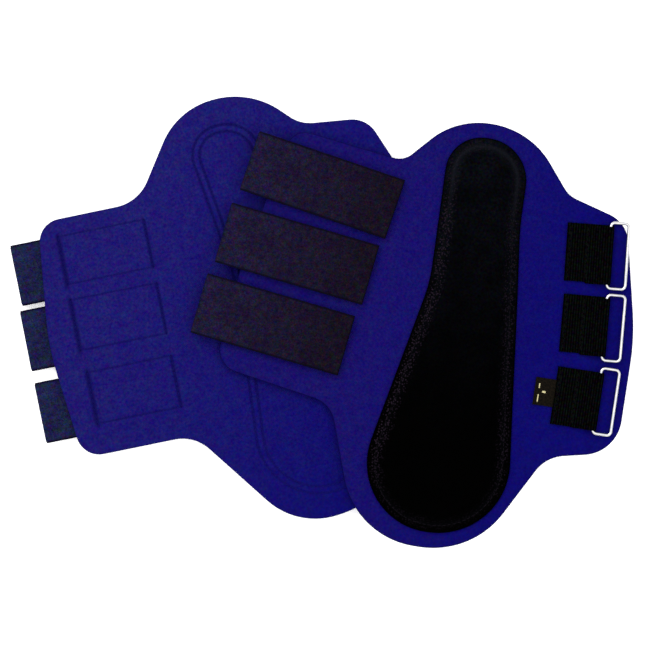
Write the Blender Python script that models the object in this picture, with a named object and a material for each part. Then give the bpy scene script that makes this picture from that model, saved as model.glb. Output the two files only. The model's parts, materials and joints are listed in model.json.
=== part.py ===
"""A pair of tendon boots for a horse's forelegs, lying flat with one overlapping the other.

Each boot is a sheet of neoprene with a strike pad down its middle, three hook-and-loop
straps sewn to one wing and three elastic tabs with wire rings on the other. The lower
boot lies with its outer face down, and the upper boot lies partly on it, outer face up,
its free side draping from the lower boot to the ground.

Plan shapes are in millimetres in a boot's own frame: X points to the ring side and Y up
the leg. Heights are given as w, the distance outwards from the boot's inner face.
"""
import bmesh
import bpy
import math
from mathutils import Vector
from mathutils.geometry import convex_hull_2d, delaunay_2d_cdt

MM = 0.001
GAP = 0.3                       # clearance kept between neighbouring solids

# ---- the neoprene sheets: corner x, corner y and corner radius, clockwise from the left
# saddle. The sheets are cut and laid by hand, so the two boots differ by a few millimetres.
UPPER_CORNERS = [
    (-52.0, 87.5, 12.0),        # saddle between the dome and the strap wing
    (-23.5, 120.0, 47.0),       # dome, left half
    (22.0, 119.0, 50.0),        # dome, right half
    (51.0, 84.5, 16.0),         # saddle between the dome and the ring wing
    (89.0, 74.5, 20.0),         # top corner of the ring wing
    (105.5, 6.0, 150.0),        # bow of the ring wing's edge
    (107.0, -65.0, 24.0),       # bottom corner of the ring wing
    (65.0, -75.0, 23.0),        # waist above the lobe, ring side
    (30.5, -142.0, 53.0),       # lobe, right half
    (-42.0, -142.5, 52.0),      # lobe, left half
    (-70.0, -65.5, 18.0),       # waist above the lobe, strap side
    (-143.5, -54.5, 14.0),      # bottom corner of the strap wing
    (-138.0, 10.0, 150.0),      # bow of the strap wing's edge
    (-121.5, 95.5, 12.0),       # top corner of the strap wing
]
LOWER_CORNERS = [
    (-61.0, 76.5, 26.0),
    (-21.5, 122.5, 45.0),
    (24.5, 121.0, 49.0),
    (47.5, 91.0, 22.0),
    (87.0, 82.0, 17.0),
    (105.0, 13.5, 150.0),
    (107.5, -56.0, 18.0),
    (63.0, -72.0, 18.0),
    (31.5, -142.0, 52.0),
    (-30.5, -142.5, 44.0),
    (-73.0, -69.0, 24.0),
    (-141.5, -61.0, 14.0),
    (-140.5, 10.0, 150.0),
    (-123.0, 83.5, 14.0),
]
SHELL_THICK = 5.0

# ---- the strike pad down the back of the leg, narrow at the top and broad at the fetlock
PAD_CORNERS = [
    (-27.0, 110.5, 22.5),
    (23.5, 110.5, 26.0),
    (25.0, 60.5, 120.0),
    (50.8, -132.5, 43.5),
    (-51.5, -132.5, 42.5),
    (-23.7, 17.5, 90.0),
]
PAD_HEIGHT = 4.7
PAD_GAP = 0.5                   # clearance under the pad, whose facets follow the drape apart
PAD_FLANGE = (5.5, 1.8)         # width and height of the stitched border
PAD_WALL = 1.2                  # skin over the insert

# ---- straps: centre x, centre y and slope in degrees of each folded strap
UPPER_STRAPS = [
    (-98.3, 64.4, 8.7),
    (-106.2, 20.6, 6.3),
    (-113.3, -24.1, 6.3),
]
LOWER_STRAPS = [
    (-100.2, 52.0, 6.7),
    (-107.1, 12.0, 7.0),
    (-112.3, -32.3, 6.7),
]
STRAP_LENGTH = 93.0             # folded length, from the fold's outside to the sewn inner end
STRAP_WIDTH = 37.5
STRAP_THICK = 1.3
HOOK_THICK = 1.4
HOOK_SPAN = (32.0, 89.0)        # where the hook patch starts and ends, from the fold's axis
HOOK_WIDTH = 32.0

# ---- elastic tabs: centre x, centre y, slope in degrees and how far the ring sits off centre
UPPER_TABS = [
    (69.2, 52.2, 6.0, -0.8),
    (74.1, 8.8, 5.0, -0.8),
    (77.4, -36.4, 1.5, 0.5),
]
LOWER_TABS = [
    (66.2, 53.8, 6.0, 0.0),
    (71.4, 10.4, 5.0, 0.0),
    (75.0, -34.8, 1.5, 0.0),
]
TAB_LENGTH = 28.5
TAB_WIDTH = 35.5
TAB_THICK = 0.9                 # one layer of the elastic

# ---- wire rings
RING_LENGTH = 42.0              # outer size along the elastic's fold
RING_WIDTH = 13.0
RING_WIRE = 1.9
RING_CORNER = 2.4               # bend radius at the middle of the wire

# ---- size label
LABEL_SIZE = (12.0, 17.0)
LABEL_SHIFT = 0.9               # the label's middle, up from the tab's
LABEL_THICK = 0.4
LABEL_LIFT = 0.2                # extra clearance where the sheet curves up under the label

# ---- how the two boots lie: place of the frame's origin and turn in degrees
LOWER_PLACE = (-30.74, 19.54, 18.2)
UPPER_PLACE = (84.86, 3.04, -10.0)
LOWER_TOP = 10.0                # height of the lower boot's inner face
DRAPE_START = 4.0               # the upper boot starts to fall this far past the lower one
DRAPE_LENGTH = 56.0             # and reaches the ground this much further out

ROUND_STEP = 12.0               # degrees between points on a rounded corner
DRAPE_CELL = 8.0                # spacing of the points on a draped surface

# Heights above the inner face
FACE = SHELL_THICK + GAP                        # first layer on the outer face
HINGE_W = FACE + 2.3                            # strap folds and ring bars
FLAP_W = 2 * HINGE_W - FACE - STRAP_THICK       # underside of a folded flap
HOOK_W = FACE + STRAP_THICK + GAP
RING_BAR = HINGE_W - FACE                       # ring bar's middle, in from the tab's outer end
FOLD_REACH = HINGE_W - FACE                     # the fold stands out this far past its axis

COLOURS = {
    "neoprene": ((0.010, 0.008, 0.140), 0.85, 0.0),
    "pad": ((0.004, 0.004, 0.005), 0.70, 0.0),
    "foam": ((0.10, 0.10, 0.11), 0.90, 0.0),
    "loop": ((0.012, 0.009, 0.022), 0.90, 0.0),
    "hook": ((0.006, 0.006, 0.008), 0.60, 0.0),
    "elastic": ((0.004, 0.004, 0.005), 0.80, 0.0),
    "chrome": ((0.80, 0.81, 0.83), 0.12, 1.0),
    "label": ((0.012, 0.010, 0.006), 0.70, 0.0),
}


def clear_scene():
    for obj in list(bpy.data.objects):
        bpy.data.objects.remove(obj, do_unlink=True)


def make_materials():
    made = {}
    for name, (colour, roughness, metallic) in COLOURS.items():
        material = bpy.data.materials.new(name)
        material.use_nodes = True
        shader = material.node_tree.nodes["Principled BSDF"]
        shader.inputs["Base Color"].default_value = (*colour, 1.0)
        shader.inputs["Roughness"].default_value = roughness
        shader.inputs["Metallic"].default_value = metallic
        made[name] = material
    return made


def rounded_outline(corners, step=ROUND_STEP):
    """A closed outline through corners (x, y, radius), each replaced by an arc."""
    points = []
    count = len(corners)
    for i, (x, y, radius) in enumerate(corners):
        here = Vector((x, y))
        back = (Vector(corners[i - 1][:2]) - here).normalized()
        ahead = (Vector(corners[(i + 1) % count][:2]) - here).normalized()
        half = back.angle(ahead) / 2
        centre = here + (back + ahead).normalized() * radius / math.sin(half)
        start = here + back * radius / math.tan(half) - centre
        turn = math.pi - 2 * half
        if back.x * ahead.y - back.y * ahead.x < 0:
            turn = -turn
        steps = max(2, math.ceil(math.degrees(abs(turn)) / step))
        for k in range(steps + 1):
            angle = -turn * k / steps
            cos, sin = math.cos(angle), math.sin(angle)
            points.append((centre.x + start.x * cos - start.y * sin,
                           centre.y + start.x * sin + start.y * cos))
    return points


def inset(points, distance):
    """Moves each point of a clockwise outline inwards along its own normal."""
    moved = []
    count = len(points)
    for i, (x, y) in enumerate(points):
        here = Vector((x, y))
        before = (here - Vector(points[i - 1])).normalized()
        after = (Vector(points[(i + 1) % count]) - here).normalized()
        along = (before + after).normalized()
        moved.append((x + along.y * distance, y - along.x * distance))
    return moved


def rectangle(x0, x1, y0, y1):
    return [(x0, y1), (x1, y1), (x1, y0), (x0, y0)]


def place_in_world(point, place):
    x, y = point
    turn = math.radians(place[2])
    return (place[0] + x * math.cos(turn) - y * math.sin(turn),
            place[1] + x * math.sin(turn) + y * math.cos(turn))


def smooth_fall(t):
    t = min(1.0, max(0.0, t))
    return 1.0 - t * t * (3.0 - 2.0 * t)


def distance_outside(point, polygon):
    """Distance from a point to a counter-clockwise convex polygon, zero inside it."""
    p = Vector(point)
    nearest = math.inf
    inside = True
    for a, b in zip(polygon, polygon[1:] + polygon[:1]):
        edge = b - a
        if edge.x * (p.y - a.y) - edge.y * (p.x - a.x) < 0:
            inside = False
        t = min(1.0, max(0.0, (p - a).dot(edge) / edge.length_squared))
        nearest = min(nearest, (p - a - edge * t).length)
    return 0.0 if inside else nearest


class Boot:
    """One boot: where it lies, which way up, and the height of its inner face."""

    def __init__(self, name, place, side, corners, straps, tabs, support=None):
        self.name = name
        self.place = place
        self.side = side                # +1 outer face up, -1 outer face down
        self.corners = corners
        self.straps = straps
        self.tabs = tabs
        self.support = support          # convex outline of what it drapes over
        self.frame = bpy.data.objects.new(name + "_frame", None)
        self.frame.location = (place[0] * MM, place[1] * MM, 0.0)
        self.frame.rotation_euler = (0.0, 0.0, math.radians(place[2]))
        bpy.context.collection.objects.link(self.frame)

    def face_height(self, point):
        """Height of the inner face at a plan point of the boot."""
        if self.support is None:
            return LOWER_TOP
        reach = distance_outside(place_in_world(point, self.place), self.support)
        return (LOWER_TOP + GAP) * smooth_fall((reach - DRAPE_START) / DRAPE_LENGTH)

    def lay(self, point, w):
        """A point of the boot, in metres in its frame, w above its inner face."""
        x, y = point
        return x * MM, y * MM, (self.face_height(point) + self.side * w) * MM


def add_object(boot, name, mesh, material):
    obj = bpy.data.objects.new(boot.name + "_" + name, mesh)
    obj.data.materials.append(material)
    obj.parent = boot.frame
    bpy.context.collection.objects.link(obj)
    return obj


def cap_points(loop, cell):
    """Points inside a loop on a square lattice, clear of its edge."""
    xs = [p[0] for p in loop]
    ys = [p[1] for p in loop]
    edge = [Vector(p) for p in loop]
    count = len(edge)
    found = []
    for i in range(math.ceil(min(xs) / cell), math.floor(max(xs) / cell) + 1):
        for j in range(math.ceil(min(ys) / cell), math.floor(max(ys) / cell) + 1):
            p = Vector((i * cell, j * cell))
            near = min((p - a).length for a in edge)
            crossings = 0
            for k in range(count):
                a, b = edge[k], edge[(k + 1) % count]
                if (a.y > p.y) != (b.y > p.y):
                    crossings += p.x < a.x + (p.y - a.y) * (b.x - a.x) / (b.y - a.y)
            if crossings % 2 and near > cell * 0.4:
                found.append((p.x, p.y))
    return found


def divided(loop, longest):
    """The loop with points added so that no side is longer than the given length."""
    points = []
    for a, b in zip(loop, loop[1:] + loop[:1]):
        parts = max(1, math.ceil((Vector(b) - Vector(a)).length / longest))
        for k in range(parts):
            points.append((a[0] + (b[0] - a[0]) * k / parts, a[1] + (b[1] - a[1]) * k / parts))
    return points


def layered_solid(boot, name, layers, material):
    """A closed solid skinned over loops of equal count, given as (loop, w), capped at both ends."""
    bm = bmesh.new()
    rings = []
    for loop, w in layers:
        rings.append([bm.verts.new(boot.lay(p, w)) for p in loop])
    for lower, upper in zip(rings, rings[1:]):
        for i in range(len(lower)):
            j = (i + 1) % len(lower)
            bm.faces.new((lower[i], lower[j], upper[j], upper[i]))
    for ring, (loop, w) in ((rings[0], layers[0]), (rings[-1], layers[-1])):
        if boot.support is None:
            bm.faces.new(ring)
            continue
        inner = cap_points(loop, DRAPE_CELL)
        verts = ring + [bm.verts.new(boot.lay(p, w)) for p in inner]
        count = len(loop)
        plan = [Vector(p) for p in loop + inner]
        sides = [(i, (i + 1) % count) for i in range(count)]
        faces = delaunay_2d_cdt(plan, sides, [list(range(count))], 1, 1e-6)[2]
        for face in faces:
            bm.faces.new([verts[i] for i in face])
    bmesh.ops.recalc_face_normals(bm, faces=bm.faces)
    mesh = bpy.data.meshes.new(name)
    bm.to_mesh(mesh)
    bm.free()
    return add_object(boot, name, mesh, material)


def extruded(points, low, high, axes):
    """A mesh of the outline extruded from low to high; axes gives the order of coordinates."""
    bm = bmesh.new()
    rings = []
    for level in (low, high):
        ring = []
        for a, b in points:
            values = {axes[0]: a, axes[1]: b, axes[2]: level}
            ring.append(bm.verts.new((values["x"] * MM, values["y"] * MM, values["z"] * MM)))
        rings.append(ring)
    bm.faces.new(rings[0])
    bm.faces.new(rings[1])
    for i in range(len(points)):
        j = (i + 1) % len(points)
        bm.faces.new((rings[0][i], rings[0][j], rings[1][j], rings[1][i]))
    bmesh.ops.recalc_face_normals(bm, faces=bm.faces)
    mesh = bpy.data.meshes.new("extrusion")
    bm.to_mesh(mesh)
    bm.free()
    return mesh


def add_shell(boot, material):
    loop = rounded_outline(boot.corners)
    if boot.support is not None:
        loop = divided(loop, DRAPE_CELL)
    layered_solid(boot, "neoprene_shell", [(loop, 0.0), (loop, SHELL_THICK)], material)
    return loop


def add_pad(boot, materials):
    """The strike pad's cover, open towards the shell, and the insert that fills it."""
    loop = divided(rounded_outline(PAD_CORNERS), DRAPE_CELL)
    width, height = PAD_FLANGE
    foot = SHELL_THICK + PAD_GAP
    top = SHELL_THICK + GAP + PAD_HEIGHT
    ceiling = top - PAD_WALL
    cover = [
        (inset(loop, width + 5.0), ceiling),
        (inset(loop, width + 1.0), foot),
        (loop, foot),
        (loop, foot + height),
        (inset(loop, width), foot + height + 0.2),
        (inset(loop, width + 3.0), top - 0.4),
        (inset(loop, width + 7.0), top),
    ]
    layered_solid(boot, "strike_pad_cover", cover, materials["pad"])
    insert = [
        (inset(loop, width + 1.8), foot),
        (inset(loop, width + 5.6), ceiling - GAP),
    ]
    layered_solid(boot, "strike_pad_insert", insert, materials["foam"])


def strap_frame(boot, number):
    """Plan place of a strap's fold and the turn of its frame, +X along the strap inwards."""
    x, y, slope = boot.straps[number]
    slope = math.radians(slope)
    reach = STRAP_LENGTH / 2 - FOLD_REACH
    return (x - reach * math.cos(slope), y + reach * math.sin(slope)), -slope


def put(boot, obj, point, w, turn):
    obj.location = boot.lay(point, w)
    obj.rotation_euler = (0.0, 0.0, turn)


def add_strip(boot, name, span, width, w, thick, frame, material):
    """A flat strip in a strap's frame; its origin is on the fold's axis."""
    point, turn = frame
    low = boot.side * (w - HINGE_W)
    high = boot.side * (w + thick - HINGE_W)
    outline = rectangle(span[0], span[1], -width / 2, width / 2)
    mesh = extruded(outline, low, high, "xyz")
    put(boot, add_object(boot, name, mesh, material), point, HINGE_W, turn)


def add_straps(boot, materials):
    for number in range(len(boot.straps)):
        frame = strap_frame(boot, number)
        label = str(number + 1)
        span = (GAP, STRAP_LENGTH - FOLD_REACH)
        add_strip(boot, "strap_base_" + label, span, STRAP_WIDTH, FACE,
                  STRAP_THICK, frame, materials["loop"])
        add_strip(boot, "strap_flap_" + label, span, STRAP_WIDTH, FLAP_W,
                  STRAP_THICK, frame, materials["loop"])
        add_strip(boot, "strap_hooks_" + label, HOOK_SPAN, HOOK_WIDTH, HOOK_W,
                  HOOK_THICK, frame, materials["hook"])


def arc(centre, radius, start, end, steps):
    points = []
    for k in range(steps + 1):
        angle = math.radians(start + (end - start) * k / steps)
        points.append((centre[0] + radius * math.cos(angle), centre[1] + radius * math.sin(angle)))
    return points


def tab_profile():
    """Side view of the folded elastic round the ring's bar, which is at the origin."""
    outer = HINGE_W - FACE
    inner = outer - TAB_THICK
    tail = RING_BAR - TAB_LENGTH                # the sewn end
    bend = tail + 0.45 * TAB_LENGTH             # where the layers part round the bar
    lower_top = -outer + TAB_THICK
    upper_low = lower_top + GAP
    points = [(tail, -outer)]
    points += arc((0.0, 0.0), outer, -90, 90, 8)
    points += [(bend, upper_low + TAB_THICK), (tail, upper_low + TAB_THICK)]
    points += [(tail, upper_low), (bend, upper_low)]
    points += arc((0.0, 0.0), inner, 90, -90, 8)
    points += [(tail, lower_top)]
    return points


def ring_curve():
    """The ring's wire; the bar on the hinge axis runs along Y through the origin."""
    across = RING_WIDTH - RING_WIRE
    half = (RING_LENGTH - RING_WIRE) / 2
    corners = [(0.0, half), (across, half), (across, -half), (0.0, -half)]
    route = rounded_outline([(x, y, RING_CORNER) for x, y in corners], 30.0)
    curve = bpy.data.curves.new("ring", "CURVE")
    curve.dimensions = "3D"
    curve.bevel_depth = RING_WIRE / 2 * MM
    curve.bevel_resolution = 2
    spline = curve.splines.new("POLY")
    spline.points.add(len(route) - 1)
    for target, (x, y) in zip(spline.points, route):
        target.co = (x * MM, y * MM, 0.0, 1.0)
    spline.use_cyclic_u = True
    return curve


def tab_frame(boot, number):
    """Plan place of a ring's hinge bar and the turn of its frame, +X outwards."""
    x, y, slope, _ = boot.tabs[number]
    turn = math.radians(slope)
    reach = TAB_LENGTH / 2 - RING_BAR
    return (x + reach * math.cos(turn), y + reach * math.sin(turn)), turn


def add_tabs(boot, materials):
    """The elastic tabs, each folded round the bar of its ring."""
    for number in range(len(boot.tabs)):
        point, turn = tab_frame(boot, number)
        label = str(number + 1)
        profile = [(x, boot.side * z) for x, z in tab_profile()]
        mesh = extruded(profile, -TAB_WIDTH / 2, TAB_WIDTH / 2, "xzy")
        tab = add_object(boot, "elastic_tab_" + label, mesh, materials["elastic"])
        put(boot, tab, point, HINGE_W, turn)
        shift = boot.tabs[number][3]
        place = (point[0] - shift * math.sin(turn), point[1] + shift * math.cos(turn))
        ring = add_object(boot, "ring_" + label, ring_curve(), materials["chrome"])
        put(boot, ring, place, HINGE_W, turn)


def add_label(boot, materials):
    """A woven size label whose end meets the lowest tab."""
    point, turn = tab_frame(boot, 2)
    end = RING_BAR - TAB_LENGTH - GAP
    length, width = LABEL_SIZE
    low = boot.side * (FACE + LABEL_LIFT - HINGE_W)
    high = boot.side * (FACE + LABEL_LIFT + LABEL_THICK - HINGE_W)
    outline = rectangle(end - length, end, LABEL_SHIFT - width / 2, LABEL_SHIFT + width / 2)
    mesh = extruded(outline, low, high, "xyz")
    label = add_object(boot, "size_label", mesh, materials["label"])
    put(boot, label, point, HINGE_W, turn)


def add_boot(boot, materials):
    loop = add_shell(boot, materials["neoprene"])
    add_pad(boot, materials)
    add_straps(boot, materials)
    add_tabs(boot, materials)
    add_label(boot, materials)
    return loop


def main():
    clear_scene()
    materials = make_materials()
    lower = Boot("lower", LOWER_PLACE, -1, LOWER_CORNERS, LOWER_STRAPS, LOWER_TABS)
    loop = add_boot(lower, materials)
    world = [Vector(place_in_world(p, LOWER_PLACE)) for p in loop]
    support = [world[i] for i in convex_hull_2d(world)]
    upper = Boot("upper", UPPER_PLACE, 1, UPPER_CORNERS, UPPER_STRAPS, UPPER_TABS, support)
    add_boot(upper, materials)


main()
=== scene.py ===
"""Looks for a pair of tendon boots: neoprene sheets, padded strike pads, folded
hook-and-loop straps, ribbed elastic tabs, wire rings, woven labels and their stitching.

Plan shapes are in millimetres in a boot's own frame, X to the ring side and Y up the leg,
and w is the height outwards from the boot's inner face. Finished meshes are in metres.
"""
import json
import math

import bpy
import numpy as np
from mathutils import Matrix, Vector
from mathutils.bvhtree import BVHTree
from mathutils.geometry import convex_hull_2d, delaunay_2d_cdt


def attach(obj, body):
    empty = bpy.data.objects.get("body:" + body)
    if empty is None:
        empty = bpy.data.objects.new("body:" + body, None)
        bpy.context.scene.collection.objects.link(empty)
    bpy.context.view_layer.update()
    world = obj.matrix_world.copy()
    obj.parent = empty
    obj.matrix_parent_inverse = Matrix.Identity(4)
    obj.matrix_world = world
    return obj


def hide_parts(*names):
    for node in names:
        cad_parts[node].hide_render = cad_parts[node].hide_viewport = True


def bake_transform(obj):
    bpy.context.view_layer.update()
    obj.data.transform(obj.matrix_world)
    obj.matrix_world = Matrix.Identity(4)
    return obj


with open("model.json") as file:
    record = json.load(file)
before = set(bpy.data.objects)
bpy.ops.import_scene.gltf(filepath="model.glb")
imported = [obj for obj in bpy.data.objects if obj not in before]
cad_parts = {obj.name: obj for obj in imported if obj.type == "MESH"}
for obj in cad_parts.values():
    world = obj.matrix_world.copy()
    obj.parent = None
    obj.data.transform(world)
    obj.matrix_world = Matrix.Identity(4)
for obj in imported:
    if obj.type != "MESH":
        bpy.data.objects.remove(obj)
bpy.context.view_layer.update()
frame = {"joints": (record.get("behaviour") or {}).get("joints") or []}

MM = 0.001
SEED = 7

# ---- how the two boots lie: place of each boot's frame and its turn in degrees
PLACES = {"lower": (-30.74, 19.54, 18.2), "upper": (84.86, 3.04, -10.0)}
SIDES = {"lower": -1, "upper": 1}  # +1 outer face up, -1 outer face down
LOWER_TOP = 10.0  # height of the lower boot's inner face
LIFT = 0.3  # clearance between the two boots
DRAPE_START = 4.0  # how far past the lower boot's edge the upper one starts to sink
DRAPE_LENGTH = 56.0  # and over what length it comes down

# ---- cut outlines: corner x, corner y and corner radius, clockwise
CORNERS = {
    "upper": [
        (-52.0, 87.5, 12.0), (-23.5, 120.0, 47.0), (22.0, 119.0, 50.0), (51.0, 84.5, 16.0),
        (89.0, 74.5, 20.0), (105.5, 6.0, 150.0), (107.0, -65.0, 24.0), (65.0, -75.0, 23.0),
        (30.5, -142.0, 53.0), (-42.0, -142.5, 52.0), (-70.0, -65.5, 18.0), (-143.5, -54.5, 14.0),
        (-138.0, 10.0, 150.0), (-121.5, 95.5, 12.0),
    ],
    "lower": [
        (-61.0, 76.5, 26.0), (-21.5, 122.5, 45.0), (24.5, 121.0, 49.0), (47.5, 91.0, 22.0),
        (87.0, 82.0, 17.0), (105.0, 13.5, 150.0), (107.5, -56.0, 18.0), (63.0, -72.0, 18.0),
        (31.5, -142.0, 52.0), (-30.5, -142.5, 44.0), (-73.0, -69.0, 24.0), (-141.5, -61.0, 14.0),
        (-140.5, 10.0, 150.0), (-123.0, 83.5, 14.0),
    ],
}
PAD_CORNERS = [
    (-27.0, 110.5, 22.5), (23.5, 110.5, 26.0), (25.0, 60.5, 120.0), (50.8, -132.5, 43.5),
    (-51.5, -132.5, 42.5), (-23.7, 17.5, 90.0),
]

# ---- heights above the inner face, as the CAD solids have them
SHELL = 5.0
FACE = 5.3
HINGE_W = 7.6  # strap folds and ring bars

# ---- sewing
PAD_SEAM = 4.6  # pad stitches, in from the pad's edge
CONTOURS = (4.6, 8.8)  # lining stitches round the pad, in from its edge
STITCH = 3.1  # stitch pitch
STITCH_GAP = 0.5
THREAD = 0.25  # thread radius
PAD_THREAD = 0.27
LABEL_THREAD = 0.17
STITCH_SIDES = 6
STITCH_RINGS = ((0.00, -0.26, 0.45), (0.14, 0.04, 0.92), (0.50, 0.14, 1.0),
                (0.86, 0.04, 0.92), (1.00, -0.26, 0.45))  # along, rise, thickness

# ---- sheets of neoprene
SHEET_PITCH = 1.8  # points along the cut edge
SHEET_CELL = 2.6
SHEET_SPACING = (0.45, 1.35)  # least distances between guide points and between the others
SHEET_MARGIN = 0.7
EDGE_PROFILE = ((0.50, 0.0), (0.34, 0.0), (0.16, 0.03), (0.04, 0.14), (0.0, 0.32), (0.05, 0.50),
                (0.08, 1.7), (0.08, 3.3), (0.05, 4.50), (0.0, 4.68), (0.04, 4.86),
                (0.16, 4.97), (0.34, 5.0), (0.50, 5.0))  # inset and w across the cut edge
CORE_BANDS = (4, 5, 6, 7)  # the bands of it that are bare foam
OUTER_SKIN, LINING_SKIN, CORE_SKIN = 0, 1, 2
OUTER_SHARE = 0.6  # depth of a groove in the outer face, against the lining's
PAD_PRESS = (0.3, 4.0)  # how far the pad presses the face down, and over what width
PAD_LIP = (0.16, 3.5)  # height and width of the lip that it raises round itself
RIM_SHADE = {"lower": 0.3, "upper": 0.85}  # how dark the painted shade along the cut edge is
RIM_SHARE = 0.2  # and the share of that painted shade where the faces meet the edge
PAINTED_SHEEN_SLOPES = {"lower": (0.5, -0.0040, 0.0035), "upper": (0.45, -1 / 120, 0.001)}  # painted sheen: its share at the boot's middle, and its slopes in X, Y

# ---- grooves that the stitches pull into the sheet: depth and half width, in millimetres
CONTOUR_GROOVE = (0.80, 1.30)
BOX_GROOVES = ((0.48, 1.0), (0.95, 1.5), (0.48, 1.0), (1.05, 2.3))  # from the +Y side, clockwise
TAB_GROOVE = (0.45, 1.1)
DARKEST_GROOVE = 0.9  # depth from which a groove's painted shade is as dark as it gets
SLACK = (0.45, -125.0, 75.0)  # share left of a contour's depth, below this Y, and the way up to 1

# ---- the seam that sews down each strap's base: its middle, from the fold's axis, and size
SEAM_BOXES = {
    "upper": ((53.0, 0.4, 54.5, 29.5),) * 3,
    "lower": ((54.6, 3.3, 53.3, 29.5), (56.6, 3.7, 53.5, 31.2), (57.2, 2.8, 52.0, 31.7)),
}

# ---- strike pads
PAD_SIDE = ((0.0, 4.9), (0.0, 6.1), (0.22, 6.6), (0.7, 6.88))  # inset and w of its edge
PAD_INSET = (0.7, 2.6, 3.7, 4.6, 5.5, 7.0, 9.5, 13.0, 20.0, 40.0)
PAD_RISE = (6.88, 7.0, 6.8, 6.35, 6.8, 7.7, 8.75, 9.3, 9.55, 9.6)  # w at each PAD_INSET
PAD_PITCH = 2.2
PAD_CELL = 3.0
PAD_SPACING = (0.6, 1.7)
PAD_MARGIN = 0.8
PAD_PINNED = 5.6  # width of the border that the simulation holds still
PAD_SWELL = 0.55  # most that the simulation may raise the pad
PUCKER = (0.10, 1.6)  # height and width of the puckers along the pad's seam
CLOTH_SCALE = 10.0  # the cloth solver works on a tenfold copy
CLOTH_STEPS = 20
CLOTH = {
    "quality": 6,
    "mass": 0.4,
    "tension_stiffness": 25.0,
    "compression_stiffness": 25.0,
    "shear_stiffness": 10.0,
    "bending_stiffness": 2.0,
    "use_pressure": True,
    "uniform_pressure_force": 3.0,
    "shrink_min": -0.012,
}

# ---- straps and hooks
STRAP_WIDTH = 37.5
STRAP_THICK = 1.3
STRAP_REACH = 90.7  # from the fold's axis to the cut end
STRAP_PILE = 0.11  # how rough the brushed faces are
STRAP_WAVE = 0.12  # how far the webbing and its edges wander
SELVAGE = 0.75  # how dark the woven edges are
HOOK_SPAN = (32.0, 89.0)
HOOK_WIDTH = 32.0
HOOK_TAPE = (8.05, 8.5)  # w of the tape under the flap
HOOK_PITCH = 1.7
HOOK_SIDES = 4
HOOK_RINGS = ((0.0, 8.1, 0.20), (0.0, 7.45, 0.15), (0.12, 7.12, 0.15), (0.38, 6.95, 0.14),
              (0.62, 7.12, 0.10), (0.66, 7.32, 0.06))  # x, w and radius, up to the curled tip

# ---- tabs, rings and labels
TAB_WIDTH = 35.5
ROW_HALF = 16.0  # half the length of a row of stitches
TAB_SWAY = (-1.0, -1.0, -0.35)  # how far each tab's loop leans sideways
TAB_THICK = 0.9
TAB_TAIL = -26.2  # the sewn end, from the ring's bar
TAB_SEAM = -13.4  # the seam that closes the loop round the bar
TAB_MARGIN = 2.0  # from the sewn end to its row of stitches
RIB = 1.55  # pitch of the elastic's ribs
RIB_DEPTH = 0.26
ROW_DEPTH = 0.30  # how deep a row of stitches bites, and how wide
ROW_WIDTH = 0.7
RING_LENGTH = 42.0
RING_WIDTH = 13.0
RING_WIRE = 1.9
RING_BEND = 2.4
RING_SIDES = 20
RING_SHIFTS = {"lower": (0.0, 0.0, 0.0), "upper": (-0.8, -0.8, 0.5)}  # off the tabs' middles
LABEL_SIZE = (12.0, 17.0)
LABEL_SHIFT = 0.9  # the label's middle, up from the tab's
LABEL_THICK = 0.4
LABEL_LIFT = 0.2
LABEL_BARS = ((-9.6, 4.3, 0.8, 3.0), (-9.6, -3.2, 0.8, 4.6), (-6.4, 0.9, 2.4, 1.2))
BAR_PITCH = 0.3

# ---- floor, lights and camera, in metres and watts
FLOOR_SIZE = 4.0
FLOOR_LEVEL = -0.0004
FLOOR_GLOW = 0.35
WORLD_LIGHT = 1.85
SKY = ((0.15, 0.15), (0.90, 1.0))  # how bright the surroundings are by height
LIGHTS = (("key", (-0.7, 0.9, 1.5), 1.2, 14.0), ("fill", (1.2, -0.6, 1.4), 1.6, 6.0))
CAMERA_PLACE = (0.00101, -0.00149, 2.2078)
CAMERA_LENS = 200.0


# ======== plan geometry

def rounded_outline(corners, step=3.0):
    """A closed outline with an arc, in steps of so many degrees, for each (x, y, radius)."""
    points = []
    count = len(corners)
    for i, (x, y, radius) in enumerate(corners):
        here = Vector((x, y))
        back = (Vector(corners[i - 1][:2]) - here).normalized()
        ahead = (Vector(corners[(i + 1) % count][:2]) - here).normalized()
        half = back.angle(ahead) / 2
        centre = here + (back + ahead).normalized() * radius / math.sin(half)
        start = here + back * radius / math.tan(half) - centre
        turn = math.pi - 2 * half
        if back.x * ahead.y - back.y * ahead.x < 0:
            turn = -turn
        steps = max(2, math.ceil(math.degrees(abs(turn)) / step))
        for k in range(steps + 1):
            angle = -turn * k / steps
            cos, sin = math.cos(angle), math.sin(angle)
            points.append((centre.x + start.x * cos - start.y * sin,
                           centre.y + start.x * sin + start.y * cos))
    return np.array(points)


def run_along(line):
    """Length of a line up to each of its points."""
    return np.concatenate([[0.0], np.cumsum(np.linalg.norm(np.diff(line, axis=0), axis=1))])


def points_at(line, lengths):
    """The points of a line at the given lengths along it."""
    run = run_along(line)
    return np.stack([np.interp(lengths, run, line[:, k]) for k in (0, 1)], axis=1)


def resampled(line, pitch, closed=True):
    """The line again, with evenly spaced points about pitch apart."""
    if closed:
        line = np.vstack([line, line[:1]])
    length = run_along(line)[-1]
    at = np.linspace(0.0, length, max(2, round(length / pitch)) + 1)
    return points_at(line, at[:-1] if closed else at)


def inset(loop, distance):
    """Moves each point of a clockwise outline inwards along its own normal."""
    before = loop - np.roll(loop, 1, axis=0)
    after = np.roll(loop, -1, axis=0) - loop
    before /= np.linalg.norm(before, axis=1)[:, None]
    after /= np.linalg.norm(after, axis=1)[:, None]
    along = before + after
    along /= np.linalg.norm(along, axis=1)[:, None]
    return loop + np.stack([along[:, 1], -along[:, 0]], axis=1) * distance


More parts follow.
